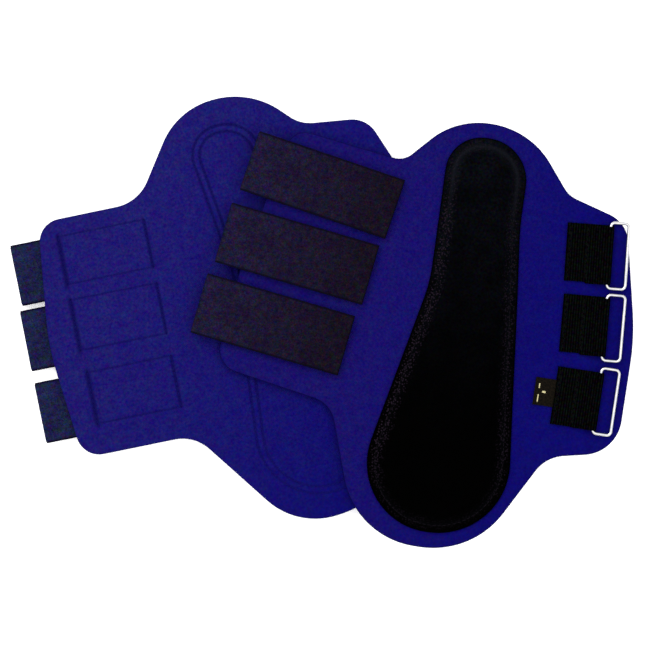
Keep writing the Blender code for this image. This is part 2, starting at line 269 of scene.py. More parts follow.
def to_line(points, line, closed=True):
    """Distance of each point to a line."""
    ends = np.roll(line, -1, axis=0) if closed else line[1:]
    starts = line if closed else line[:-1]
    best = np.full(len(points), np.inf)
    for a, b in zip(starts, ends):
        edge = b - a
        away = points - a
        t = np.clip(away @ edge / (edge @ edge), 0.0, 1.0)
        best = np.minimum(best, np.linalg.norm(away - t[:, None] * edge, axis=1))
    return best


def within(points, loop):
    """True for each point inside a closed outline."""
    crossings = np.zeros(len(points), int)
    x, y = points[:, 0], points[:, 1]
    for a, b in zip(loop, np.roll(loop, -1, axis=0)):
        spans = (a[1] > y) != (b[1] > y)
        rise = b[1] - a[1]
        if rise:
            crossings += spans & (x < a[0] + (y - a[1]) * (b[0] - a[0]) / rise)
    return crossings % 2 == 1


def fade(value, start, length):
    """A smooth step from 0 at start to 1 a length further; a negative length runs downwards."""
    t = np.clip((value - start) / length, 0.0, 1.0)
    return t * t * (3.0 - 2.0 * t)


def bell(value, middle, width):
    """A smooth bump of height 1."""
    return np.exp(-((value - middle) / width) ** 2)


def in_world(points, place):
    """Plan points of a boot as plan points of the scene, in millimetres."""
    turn = math.radians(place[2])
    cos, sin = math.cos(turn), math.sin(turn)
    x, y = points[:, 0], points[:, 1]
    return np.stack([place[0] + x * cos - y * sin, place[1] + x * sin + y * cos], axis=1)


def thinned(groups, spacing):
    """Points of all groups, the earlier groups first, none nearer to another than spacing."""
    taken = {}
    kept = []
    for group, room in zip(groups, spacing):
        for x, y in group:
            i, j = math.floor(x), math.floor(y)
            near = [q for a in range(i - 2, i + 3) for b in range(j - 2, j + 3)
                    for q in taken.get((a, b), ())]
            if all((x - p) ** 2 + (y - q) ** 2 > room * room for p, q in near):
                taken.setdefault((i, j), []).append((x, y))
                kept.append((x, y))
    return np.array(kept)


def lattice(loop, cell):
    """Points of a triangular lattice over an outline's box."""
    low, high = loop.min(axis=0), loop.max(axis=0)
    rows = np.arange(low[1], high[1], cell * math.sqrt(3) / 2)
    found = []
    for k, y in enumerate(rows):
        xs = np.arange(low[0] + (k % 2) * cell / 2, high[0], cell)
        found.append(np.stack([xs, np.full(len(xs), y)], axis=1))
    return np.vstack(found)


def triangulated(edge, inner):
    """Plan points and triangles of the area inside an outline; the outline's points come first."""
    count = len(edge)
    plan = [Vector(p) for p in np.vstack([edge, inner])]
    sides = [(i, (i + 1) % count) for i in range(count)]
    points, _, faces = delaunay_2d_cdt(plan, sides, [list(range(count))], 1, 1e-7)[:3]
    return np.array(points), [list(face) for face in faces]


def filled(edge, guides, cell, spacing, margin):
    """Points and triangles inside an outline: its own points, the guides and a lattice."""
    inner = thinned([guides, lattice(edge, cell)], spacing)
    inner = inner[within(inner, edge)]
    inner = inner[to_line(inner, edge) > margin]
    return triangulated(edge, inner)


def circle(sides, start=0.0):
    """Cosine and sine of even steps round a circle."""
    angles = [start + 2 * math.pi * k / sides for k in range(sides)]
    return [(math.cos(angle), math.sin(angle)) for angle in angles]


# ======== the two boots

class Boot:
    """Where one boot lies, which way up, and the height of its inner face."""

    def __init__(self, name, support=None):
        self.name = name
        self.body = name + "_boot"
        self.place = PLACES[name]
        self.side = SIDES[name]
        self.outline = rounded_outline(CORNERS[name])
        self.pad = rounded_outline(PAD_CORNERS)
        self.support = support
        self.folds = [self.joint_frame(f"{name}_flap_{k}_fold") for k in (1, 2, 3)]
        self.bars = [self.joint_frame(f"{name}_ring_{k}_swing") for k in (1, 2, 3)]
        self.tabs = [(origin - across * shift, along, across)
                     for (origin, along, across), shift in zip(self.bars, RING_SHIFTS[name])]

    def joint_frame(self, joint):
        """Origin of a hinge and the strap's or tab's own X and Y directions, in millimetres."""
        found = next(j for j in frame["joints"] if j["name"] == joint)
        across = -self.side * np.array(found["axis"])
        along = np.cross(across, (0.0, 0.0, 1.0))
        return np.array(found["pos_m"]) / MM, along, across

    def height(self, plan):
        """Height of the inner face over plan points of the boot."""
        if self.support is None:
            return np.full(len(plan), LOWER_TOP)
        world = in_world(plan, self.place)
        reach = np.where(within(world, self.support), 0.0, to_line(world, self.support))
        return (LOWER_TOP + LIFT) * (1.0 - fade(reach, DRAPE_START, DRAPE_LENGTH))

    def lay(self, plan, w):
        """Scene points, in metres, for plan points at w above the inner face."""
        world = in_world(plan, self.place)
        z = self.height(plan) + self.side * w
        return np.column_stack([world, z]) * MM

    def plan_of(self, points):
        """Plan points of the boot under scene points in millimetres."""
        x, y, turn = self.place
        return in_world(points[:, :2] - (x, y), (0.0, 0.0, -turn))

    def facing(self, faces):
        """The faces, turned over where the boot lies outer face down."""
        return faces if self.side > 0 else [face[::-1] for face in faces]


def in_frame(joint_frame, side, points):
    """Scene points, in metres, for (x, y, outwards) points of a strap's or tab's frame."""
    origin, along, across = joint_frame
    out = points[:, :1] * along + points[:, 1:2] * across
    out[:, 2] += side * points[:, 2]
    return (out + origin) * MM


def add_object(name, data):
    obj = bpy.data.objects.new(name, data)
    bpy.context.scene.collection.objects.link(obj)
    return obj


def make_piece(name, points, faces, body, materials, uv=None, cuts=None):
    """A smooth-shaded mesh that rides on a body. uv gives each point its cloth coordinates."""
    mesh = bpy.data.meshes.new(name)
    mesh.from_pydata(points.tolist(), [], faces)
    for material in materials:
        mesh.materials.append(material)
    mesh.shade_smooth()
    if cuts is not None:
        mesh.polygons.foreach_set("material_index", cuts)
    if uv is not None:
        layer = mesh.uv_layers.new(name="cloth")
        corners = np.concatenate(faces)
        layer.data.foreach_set("uv", np.asarray(uv, np.float32)[corners].ravel())
    obj = add_object(name, mesh)
    if body:
        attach(obj, body)
    return obj


def framed_piece(name, boot, joint_frame, mesh, body, material):
    """A piece from (points, faces, uv) in the frame of a strap or a tab."""
    points, faces, uv = mesh
    return make_piece(name, in_frame(joint_frame, boot.side, points), boot.facing(faces), body,
                      [material], uv)


def quads(*corners):
    """Faces of four corners, from an array of point numbers for each corner."""
    return np.stack(corners, axis=-1).reshape(-1, 4).tolist()


def tube_faces(first, rings, sides, closed=False):
    """Faces of a tube whose points follow from first, ring by ring: capped, or a closed loop."""
    faces = []
    for ring in range(rings if closed else rings - 1):
        here, there = first + ring * sides, first + (ring + 1) % rings * sides
        for k in range(sides):
            j = (k + 1) % sides
            faces.append((here + k, here + j, there + j, there + k))
    if not closed:
        last = first + (rings - 1) * sides
        faces.append(tuple(range(first + sides - 1, first - 1, -1)))
        faces.append(tuple(range(last, last + sides)))
    return faces


def band_faces(starts, count):
    """Faces between rings of count points, given where each ring's points start."""
    return [[low + i, high + i, high + (i + 1) % count, low + (i + 1) % count]
            for low, high in zip(starts, starts[1:]) for i in range(count)]


def paint(obj, attribute, values):
    """Gives each point of a mesh a value that its material reads."""
    layer = obj.data.attributes.new(attribute, "FLOAT", "POINT")
    layer.data.foreach_set("value", np.asarray(values, np.float32))


def surface_of(obj):
    mesh = obj.data
    return BVHTree.FromPolygons([v.co for v in mesh.vertices],
                                [tuple(p.vertices) for p in mesh.polygons])


# ======== materials

# Dark blue of the gaps between the knit's loops, and of the painted shade in grooves and along the
# cut edge.
GAP_AND_SHADE_BLUE = (0.0018, 0.0009, 0.040)


class Graph:
    """A material's nodes, with short calls that add a node and link its inputs.

    Its textures lie in the cloth's own coordinates, or else in the object's."""

    def __init__(self, name, roughness, specular, metallic=0.0, cloth=False):
        self.material = bpy.data.materials.new(name)
        self.material.use_nodes = True
        self.tree = self.material.node_tree
        self.shader = self.tree.nodes["Principled BSDF"]
        self.shader.inputs["Metallic"].default_value = metallic
        self.shader.inputs["Specular IOR Level"].default_value = specular
        self.shader.inputs["Roughness"].default_value = roughness
        self.place = (self.add("UVMap", {"uv_map": "cloth"}).outputs[0] if cloth
                      else self.add("TexCoord", {}).outputs["Object"])

    def feed(self, socket, value):
        if isinstance(value, bpy.types.NodeSocket):
            self.tree.links.new(value, socket)
        else:
            socket.default_value = value

    def add(self, kind, settings, *inputs):
        """A node with its settings, and its inputs in order; None leaves one as it is."""
        node = self.tree.nodes.new("ShaderNode" + kind)
        for key, value in settings.items():
            setattr(node, key, value)
        for socket, value in zip(node.inputs, inputs):
            if value is not None:
                self.feed(socket, value)
        return node

    def math(self, operation, *inputs):
        return self.add("Math", {"operation": operation}, *inputs).outputs[0]

    def painted(self, attribute):
        return self.add("Attribute", {"attribute_name": attribute}).outputs["Fac"]

    def texture(self, kind, size, settings):
        """A texture node with features of the given size in millimetres."""
        node = self.add(kind, settings)
        self.feed(node.inputs["Vector"], self.place)
        node.inputs["Scale"].default_value = 1.0 / (size * MM)
        return node

    def noise(self, size, detail=2.0, roughness=0.5):
        node = self.texture("TexNoise", size, {})
        node.inputs["Detail"].default_value = detail
        node.inputs["Roughness"].default_value = roughness
        return node.outputs["Fac"]

    def speckle(self, size, amounts):
        """Noise that varies red, green and blue apart, as factors about 1."""
        node = self.texture("TexNoise", size, {})
        node.inputs["Detail"].default_value = 1.5
        centred = self.vector("SUBTRACT", node.outputs["Color"], (0.5, 0.5, 0.5))
        factor = self.vector("MULTIPLY_ADD", centred, amounts, (1.0, 1.0, 1.0))
        return self.vector("MAXIMUM", factor, (0.12, 0.12, 0.12))

    def vector(self, operation, *inputs):
        return self.add("VectorMath", {"operation": operation}, *inputs).outputs[0]

    def tinted(self, colour, *factors):
        """A colour multiplied by each factor in turn."""
        for factor in factors:
            colour = self.vector("MULTIPLY", colour, factor)
        return colour

    def cells(self, size, feature="F1"):
        return self.texture("TexVoronoi", size, {"feature": feature})

    def weave(self, warp, weft):
        """Height of a plain weave with yarns of the given pitches in millimetres."""
        waves = [self.math("SINE", self.math("MULTIPLY", axis, 2.0 * math.pi / (pitch * MM)))
                 for axis, pitch in zip(self.axes(self.place), (warp, weft))]
        return self.math("MULTIPLY", *waves)

    def ramp(self, value, *stops):
        """Colours or greys between (position, colour) stops."""
        node = self.add("ValToRGB", {}, value)
        band = node.color_ramp
        while len(band.elements) < len(stops):
            band.elements.new(0.5)
        for element, (position, colour) in zip(band.elements, stops):
            element.position = position
            if not hasattr(colour, "__len__"):
                colour = (colour, colour, colour)
            element.color = (*colour, 1.0)
        return node.outputs[0]

    def mix(self, share, a, b):
        node = self.add("Mix", {"data_type": "RGBA"})
        colours = [(*c, 1.0) if isinstance(c, tuple) else c for c in (a, b)]
        for socket, value in zip((node.inputs[0], node.inputs[6], node.inputs[7]),
                                 (share, *colours)):
            self.feed(socket, value)
        return node.outputs[2]

    def axes(self, place):
        node = self.add("SeparateXYZ", {}, place)
        return node.outputs[0], node.outputs[1]

    def finish(self, colour, roughness=None, *bumps):
        """Links colour, roughness and any (height, depth in millimetres) bumps."""
        self.feed(self.shader.inputs["Base Color"], colour)
        if roughness is not None:
            self.feed(self.shader.inputs["Roughness"], roughness)
        normal = None
        for height, depth in bumps:
            node = self.add("Bump", {})
            node.inputs["Distance"].default_value = depth * MM
            self.feed(node.inputs["Height"], height)
            if normal is not None:
                self.feed(node.inputs["Normal"], normal)
            normal = node.outputs[0]
        if normal is not None:
            self.feed(self.shader.inputs["Normal"], normal)
        return self.material


def knit(graph, wale, course):
    """Height of a fine jersey knit: columns of V-shaped loops of the given size."""
    x, y = graph.axes(graph.place)
    column = graph.math("FRACT", graph.math("MULTIPLY", x, 1.0 / (wale * MM)))
    arm = graph.math("ABSOLUTE", graph.math("SUBTRACT", column, 0.5))
    row = graph.math("MULTIPLY", y, 1.0 / (course * MM))
    phase = graph.math("MULTIPLY", graph.math("ADD", row, arm), 2.0 * math.pi)
    loops = graph.math("MULTIPLY_ADD", graph.math("SINE", phase), 0.5, 0.5)
    ridge = graph.math("SUBTRACT", 1.0, graph.math("MULTIPLY", arm, 2.0))
    ridge = graph.math("POWER", ridge, 0.5)
    return graph.math("MULTIPLY", loops, ridge)


def jersey_material(name, sheen_colour, plain_colour):
    """Nylon jersey bonded to the foam: a fine knit, mottled, darker in the gaps of its loops, with a
    painted sheen that grows across it and painted shade in its grooves and along its cut edge.
    """
    graph = Graph(name, 0.86, 0.02, cloth=True)
    loops = knit(graph, 0.8, 0.62)
    fine = graph.noise(0.9, 2.0, 0.65)
    # painted sheen: lighter towards the sheen colour where the painted_sheen attribute grows
    colour = graph.mix(graph.painted("painted_sheen"), plain_colour, sheen_colour)
    colour = graph.tinted(colour, graph.speckle(1.5, (3.2, 3.4, 0.75)),
                          graph.speckle(6.0, (1.3, 1.3, 0.45)))
    gaps = graph.math("MULTIPLY", graph.math("SUBTRACT", 1.0, loops), 0.22)
    colour = graph.mix(gaps, colour, GAP_AND_SHADE_BLUE)
    # painted shade in the stitched grooves and along the cut edge
    colour = graph.mix(graph.painted("crease"), colour, GAP_AND_SHADE_BLUE)
    return graph.finish(colour, None, (fine, 0.12), (loops, 0.11))


def foam_core_material():
    """The cut edge of the neoprene: dark closed-cell foam."""
    graph = Graph("foam_core", 0.9, 0.02)
    pores = graph.cells(0.35).outputs["Distance"]
    colour = graph.ramp(pores, (0.1, (0.005, 0.004, 0.090)), (0.6, (0.010, 0.008, 0.170)))
    return graph.finish(colour, None, (pores, 0.1))


def pad_material():
    """Black grained synthetic leather with a painted sheen towards its upper end, a lighter line on
    its raised border and a few specks.
    """
    graph = Graph("pad_leather", 0.6, 0.003)
    pebbles = graph.cells(1.15, "SMOOTH_F1").outputs["Distance"]
    fine = graph.noise(0.45, 3.0, 0.6)
    broad = graph.noise(14.0)
    # painted sheen: lighter and bluer towards the pad's upper end
    colour = graph.mix(graph.painted("painted_sheen"), (0.0001, 0.0001, 0.0001), (0.0014, 0.0016, 0.0027))
    colour = graph.tinted(colour, graph.speckle(1.6, (4.0, 4.0, 4.0)),
                          graph.ramp(broad, (0.3, 0.6), (0.7, 1.4)))
    # a lighter line along the raised border, strongest at the upper end
    colour = graph.mix(graph.painted("ridge"), colour, (0.0055, 0.0066, 0.0095))
    dots = graph.ramp(graph.cells(1.35).outputs["Distance"], (0.18, 1.0), (0.45, 0.0))
    colour = graph.mix(graph.math("MULTIPLY", graph.painted("flank"), dots), colour,
                       (0.0125, 0.0078, 0.0140))
    cells = graph.cells(21.0)
    speck = graph.math("LESS_THAN", cells.outputs["Distance"], 0.026)
    chosen = graph.math("LESS_THAN", graph.axes(cells.outputs["Color"])[0], 0.22)
    colour = graph.mix(graph.math("MULTIPLY", speck, chosen), colour, (0.09, 0.09, 0.08))
    roughness = graph.ramp(fine, (0.25, 0.50), (0.75, 0.72))
    grain = graph.math("MULTIPLY", pebbles, -1.0)
    return graph.finish(colour, roughness, (grain, 0.16), (fine, 0.05))


def loop_material(name, near, far):
    """Brushed loop pile: charcoal with purple, brown and green fibres, woven edges, and a painted
    sheen that is strongest near the fold.
    """
    graph = Graph(name, 0.95, 0.02, cloth=True)
    fibres = graph.noise(0.6, 4.0, 0.75)
    broad = graph.noise(18.0)
    # painted sheen: the near colour by the fold, the far colour at the cut end
    colour = graph.mix(graph.painted("painted_sheen"), far, near)
    colour = graph.tinted(colour, graph.speckle(1.1, (3.2, 3.2, 2.5)),
                          graph.speckle(3.2, (2.4, 2.0, 2.0)),
                          graph.ramp(fibres, (0.28, 0.55), (0.50, 1.0), (0.74, 1.60)),
                          graph.ramp(broad, (0.3, 0.85), (0.7, 1.15)))
    colour = graph.mix(graph.painted("selvage"), colour, (0.0016, 0.0012, 0.0050))
    curls = graph.cells(0.7).outputs["Distance"]
    return graph.finish(colour, None, (fibres, 0.30), (curls, 0.18))


def hook_material():
    """Moulded nylon hooks on their woven tape."""
    graph = Graph("hook_tape", 0.6, 0.05)
    fine = graph.noise(0.6, 3.0)
    colour = graph.ramp(fine, (0.3, (0.003, 0.003, 0.004)), (0.7, (0.009, 0.008, 0.011)))
    roughness = graph.ramp(fine, (0.3, 0.45), (0.7, 0.65))
    return graph.finish(colour, roughness, (fine, 0.05))


def elastic_material():
    """Black woven elastic; its ribs are in the mesh, its yarns are here, and so is a painted
    highlight on the ribs' crests.
    """
    graph = Graph("elastic_weave", 0.8, 0.003, cloth=True)
    weave = graph.weave(0.5, 0.55)
    fine = graph.noise(0.8, 3.0, 0.7)
    colour = graph.ramp(fine, (0.35, (0.0001, 0.0001, 0.0001)), (0.72, (0.0008, 0.0009, 0.0010)))
    # painted highlight on the ribs' crests
    rib_highlight = graph.math("MULTIPLY", graph.painted("rib"), fine)
    colour = graph.mix(rib_highlight, colour, (0.0042, 0.0047, 0.0052))
    colour = graph.tinted(colour, graph.speckle(1.5, (5.5, 5.5, 5.5)))
    return graph.finish(colour, None, (weave, 0.04), (fine, 0.10))


def chrome_material():
    """Bright nickel-chrome wire with faint handling marks."""
    graph = Graph("chrome_wire", 0.10, 0.5, 1.0)
    marks = graph.noise(3.0, 4.0, 0.7)
    fine = graph.noise(0.3, 2.0)
    colour = graph.ramp(marks, (0.3, (0.40, 0.42, 0.48)), (0.7, (0.64, 0.61, 0.56)))
    roughness = graph.ramp(marks, (0.3, 0.06), (0.7, 0.20))
    return graph.finish(colour, roughness, (fine, 0.01))


def label_material():
    """Dark damask weave of the size label."""
    graph = Graph("label_weave", 0.75, 0.04, cloth=True)
    weave = graph.weave(0.42, 0.42)
    fine = graph.noise(1.2, 3.0)
    colour = graph.ramp(fine, (0.3, (0.0012, 0.0011, 0.0008)), (0.7, (0.0072, 0.0048, 0.0026)))
    return graph.finish(colour, None, (weave, 0.06))


def thread_material(name, light, dark, roughness=0.6, specular=0.03):
    """Sewing thread, finely mottled by its twist."""
    graph = Graph(name, roughness, specular)
    fine = graph.noise(0.25, 2.0)
    twist = graph.noise(0.5, 2.0)
    colour = graph.ramp(twist, (0.3, dark), (0.7, light))
    return graph.finish(colour, None, (fine, 0.06))


def make_materials():
    """Each cloth with its colours with and without the painted sheen, and each thread with its light
    and dark.
    """
    return {
        "outer": jersey_material("jersey_outer", (0.0068, 0.0040, 0.092),
                                 (0.0026, 0.0018, 0.096)),
        "lining": jersey_material("jersey_lining", (0.0096, 0.0072, 0.105),
                                  (0.0030, 0.0023, 0.096)),
        "core": foam_core_material(),
        "pad": pad_material(),
        "upper_loop": loop_material("loop_pile", (0.0080, 0.0055, 0.0212),
                                    (0.0050, 0.0031, 0.0072)),
        "lower_loop": loop_material("loop_pile_blue", (0.0084, 0.0105, 0.0400),
                                    (0.0070, 0.0065, 0.0215)),
        "hook": hook_material(),
        "elastic": elastic_material(),
        "chrome": chrome_material(),
        "label": label_material(),
        "blue_thread": thread_material("thread_blue", (0.0060, 0.0045, 0.110),
                                       (0.0020, 0.0015, 0.050), 0.7),
        "black_thread": thread_material("thread_black", (0.0052, 0.0036, 0.0062),
                                        (0.0016, 0.0012, 0.0022)),
        "tab_thread": thread_material("thread_tab", (0.0030, 0.0032, 0.0038),
                                      (0.0010, 0.0010, 0.0014)),
        "cream_thread": thread_material("thread_cream", (0.62, 0.55, 0.33),
                                        (0.38, 0.36, 0.17), 0.7, 0.2),
    }


# ======== stitches

def stitch_mesh(starts, ends, normals, thread):
    """Points and faces of short threads, each diving into the cloth at both its ends."""
    along = ends - starts
    length = np.linalg.norm(along, axis=1)[:, None]
    along = along / length
    across = np.cross(normals, along)
    across /= np.linalg.norm(across, axis=1)[:, None]
    up = np.cross(along, across)
    rings = []
    for t, rise, width in STITCH_RINGS:
        centre = starts + along * length * t + up * rise * thread * 2 * MM
        for cos, sin in circle(STITCH_SIDES):
            rings.append(centre + (across * cos + up * sin) * thread * width * MM)
    points = np.stack(rings, axis=1).reshape(-1, 3)
    faces = [face for first in range(0, len(points), len(rings))
             for face in tube_faces(first, len(STITCH_RINGS), STITCH_SIDES)]
    return points, faces


def add_stitches(name, boot, ends, material, thread=THREAD):
    """Stitches of a boot from their starts, ends and normals."""
    points, faces = stitch_mesh(*ends, thread)
    make_piece(name, points, faces, boot.body, [material])


def level_stitches(joint_frame, boot, starts, ends, level):
    """Ends and normals of stitches laid at one level of a strap's or tab's frame."""
    placed = [in_frame(joint_frame, boot.side, np.column_stack([plan, np.full(len(plan), level)]))
              for plan in (starts, ends)]
    return (*placed, np.tile([0.0, 0.0, float(boot.side)], (len(starts), 1)))


def stitch_ends(line, closed):
    """Plan points where each stitch along a line starts and ends."""
    fine = resampled(line, 0.25, closed)
    if closed:
        fine = np.vstack([fine, fine[:1]])
    length = run_along(fine)[-1]
    count = max(1, round(length / STITCH))
    step = length / count
    starts = np.arange(count) * step + STITCH_GAP / 2
    return points_at(fine, starts), points_at(fine, starts + step - STITCH_GAP)


def cast(tree, world, downwards):
    """Scene points and normals where vertical rays over plan points meet a surface."""
    top = 0.1 if downwards else -0.1
    ray = Vector((0.0, 0.0, -1.0 if downwards else 1.0))
    places, normals, hits = [], [], []
    for x, y in world:
        place, normal, _, _ = tree.ray_cast(Vector((x * MM, y * MM, top)), ray)
        hits.append(place is not None)
        if place is None:
            continue
        if normal.dot(ray) > 0:
            normal = -normal
        places.append(place)
        normals.append(normal)
    return np.array(places), np.array(normals), np.array(hits)


def sewn(name, boot, surface, lines, downwards, material, thread=THREAD):
    """Stitches along plan lines of a boot, laid on the top or the underside of a surface."""
    tree = surface_of(surface)
    parts = []
    for line, closed in lines:
        starts, ends = stitch_ends(line, closed)
        a, normals, hit_a = cast(tree, in_world(starts, boot.place), downwards)
        b, _, hit_b = cast(tree, in_world(ends, boot.place), downwards)
        both = hit_a & hit_b
        parts.append((a[both[hit_a]], b[both[hit_b]], normals[both[hit_a]]))
    add_stitches(name, boot, [np.vstack(p) for p in zip(*parts)], material, thread)


# ======== sheets of neoprene

def seam_corners(boot, number):
    """Corners of the seam that holds a strap's base, in the strap's own frame."""
    x, y, length, width = SEAM_BOXES[boot.name][number - 1]
    return [(x + i * length / 2, y + j * width / 2) for i, j in ((-1, 1), (1, 1), (1, -1), (-1, -1))]


def box_seam(boot, number):
    """The seam that holds a strap's base, as its four corners in plan."""
    origin, along, across = boot.folds[number - 1]
    world = [origin + along * x + across * y for x, y in seam_corners(boot, number)]
    return boot.plan_of(np.array(world))


def tab_seams(boot, tab):
    """The two rows that sew a tab to the sheet, in plan."""
    origin, along, across = tab
    rows = []
    for x in (TAB_TAIL + TAB_MARGIN, TAB_SEAM):
        ends = np.array([origin + along * x + across * y for y in (-ROW_HALF, ROW_HALF)])
        rows.append(boot.plan_of(ends))
    return rows


def grooves(boot):
    """Sewn lines of a sheet as (line, closed, depth, half width)."""
    found = []
    for distance in CONTOURS:
        found.append((resampled(inset(boot.pad, distance), 3.0), True, *CONTOUR_GROOVE))
    for number in (1, 2, 3):
        corners = box_seam(boot, number)
        for start, end, groove in zip(corners, np.roll(corners, -1, axis=0), BOX_GROOVES):
            found.append((np.array([start, end]), False, *groove))
    for tab in boot.tabs:
        for row in tab_seams(boot, tab):
            found.append((row, False, *TAB_GROOVE))
    return found


def groove_depth(points, lines):
    """How far the cloth is pulled in at each plan point, less along the pad's wide end."""
    depth = np.zeros(len(points))
    least, bottom, length = SLACK
    slack = least + (1.0 - least) * fade(points[:, 1], bottom, length)
    for line, closed, deep, half in lines:
        reach = to_line(points, line, closed)
        pull = deep * (1.0 - fade(reach, 0.0, half)) ** 1.3
        depth = np.maximum(depth, pull * slack if closed else pull)
    return depth


def guide_points(lines):
    """Rows of points on and beside the sewn lines, where the mesh has to be fine."""
    rows = []
    for line, closed, _, half in lines:
        middle = resampled(line, 1.5, closed)
        rows.append(middle)
        edge = line[1] - line[0]
        normal = np.array([edge[1], -edge[0]]) / np.linalg.norm(edge)
        for share in (-1.0, -0.5, 0.5, 1.0):
            rows.append(inset(middle, half * share) if closed else middle + normal * half * share)
    return np.vstack(rows)


def paint_sheet(obj, boot, plan, depth, count):
    """Painted shade in the grooves and along the rim, and a painted sheen that grows across the
    sheet.
    """
    rim = RIM_SHADE[boot.name]
    crease = np.minimum(depth, DARKEST_GROOVE) / DARKEST_GROOVE
    crease[:count] = RIM_SHARE * rim
    edge = np.full(len(plan) - 2 * len(depth), rim)
    paint(obj, "crease", np.concatenate([crease, crease, edge]))
    # painted sheen, a straight slope across the boot's plan
    middle, *slopes = PAINTED_SHEEN_SLOPES[boot.name]
    paint(obj, "painted_sheen", np.clip(middle + plan @ slopes, 0.0, 1.0))


def add_sheet(boot, materials):
    """The neoprene sheet: both faces, the rounded cut edge and the lines sewn into it."""
    lines = grooves(boot)
    loop = resampled(boot.outline, SHEET_PITCH)
    rings = [inset(loop, d) for d, _ in EDGE_PROFILE]
    plan, faces = filled(rings[0], guide_points(lines), SHEET_CELL, SHEET_SPACING, SHEET_MARGIN)
    depth = groove_depth(plan, lines)
    pad_edge = to_line(plan, boot.pad)
    under_pad = within(plan, boot.pad)
    press = PAD_PRESS[0] * fade(pad_edge, 0.0, PAD_PRESS[1]) * under_pad
    lip = PAD_LIP[0] * np.where(under_pad, 0.0, 1.0 - fade(pad_edge, 0.0, PAD_LIP[1]))
    count, total = len(loop), len(plan)
    inside_face = boot.lay(plan, depth)
    outside_face = boot.lay(plan, SHELL - depth * OUTER_SHARE - press + lip)
    middle = [boot.lay(ring, w) for ring, (_, w) in zip(rings[1:-1], EDGE_PROFILE[1:-1])]
    points = np.vstack([inside_face, outside_face] + middle)
    starts = [0] + [2 * total + k * count for k in range(len(middle))] + [total]
    skins = [LINING_SKIN] * len(faces) + [OUTER_SKIN] * len(faces)
    for band in range(len(starts) - 1):
        edge_skin = LINING_SKIN if band < CORE_BANDS[0] else OUTER_SKIN
        skins += [CORE_SKIN if band in CORE_BANDS else edge_skin] * count
    faces = [face[::-1] for face in faces] + [[i + total for i in face] for face in faces]
    faces = boot.facing(faces + band_faces(starts, count))
    flat = np.vstack([plan, plan] + rings[1:-1])
    obj = make_piece(boot.name + "_neoprene_sheet", points, faces, boot.body,
                     [materials[skin] for skin in ("outer", "lining", "core")], flat * MM, skins)
    paint_sheet(obj, boot, flat, depth, count)
    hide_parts(boot.name + "_neoprene_shell")
    stitched = [(line, closed) for line, closed, _, _ in lines]
    sewn(boot.name + "_lining_stitches", boot, obj, stitched, boot.side < 0,
         materials["blue_thread"])


# ======== strike pads

def inflate(points, faces, fixed, direction):
    """Runs a pressure cloth simulation with the fixed points pinned and returns the points."""
    mesh = bpy.data.meshes.new("inflating")
    mesh.from_pydata((points * CLOTH_SCALE).tolist(), [], faces)
    obj = add_object("inflating", mesh)
    group = obj.vertex_groups.new(name="pin")
    group.add([int(i) for i in np.flatnonzero(fixed)], 1.0, "REPLACE")
    cloth = obj.modifiers.new("cloth", "CLOTH")
    for setting, value in CLOTH.items():
        setattr(cloth.settings, setting, value)
    cloth.settings.vertex_group_mass = "pin"
    cloth.settings.effector_weights.gravity = 0.0
    cloth.collision_settings.use_collision = False
    cloth.collision_settings.use_self_collision = False
    scene = bpy.context.scene
    for step in range(1, CLOTH_STEPS + 1):
        scene.frame_set(step)
    shown = obj.evaluated_get(bpy.context.evaluated_depsgraph_get())
    result = np.array([v.co for v in shown.data.vertices]) / CLOTH_SCALE
    scene.frame_set(1)
    bpy.data.objects.remove(obj, do_unlink=True)
    moved = (result - points) @ direction
    return points + np.clip(moved, 0.0, PAD_SWELL * MM)[:, None] * direction


def paint_pad(obj, plan, reach):
    """Where the pad's leather gets its painted sheen, towards the upper end, a lighter line on its
    raised border, and specks beside it.
    """
    x, y = plan.T
    upper_end = fade(y, 50.0, 45.0)
    lower_end = fade(y, -80.0, -35.0)
    flank = fade(reach, 1.0, 1.4) * (1.0 - fade(reach, 6.5, 3.0))
    shares = {
        "painted_sheen": fade(y, -85.0, 220.0),
        "ridge": 0.7 * bell(reach, 5.4, 1.4) * (0.15 + 0.85 * upper_end),
        "flank": flank * (np.where(x < 0.0, 1.0, 0.55) * (1.0 - 0.6 * upper_end)
                          * (1.0 - 0.7 * lower_end)),
    }
    for attribute, share in shares.items():
        paint(obj, attribute, np.append(share, np.zeros(len(obj.data.vertices) - len(plan))))


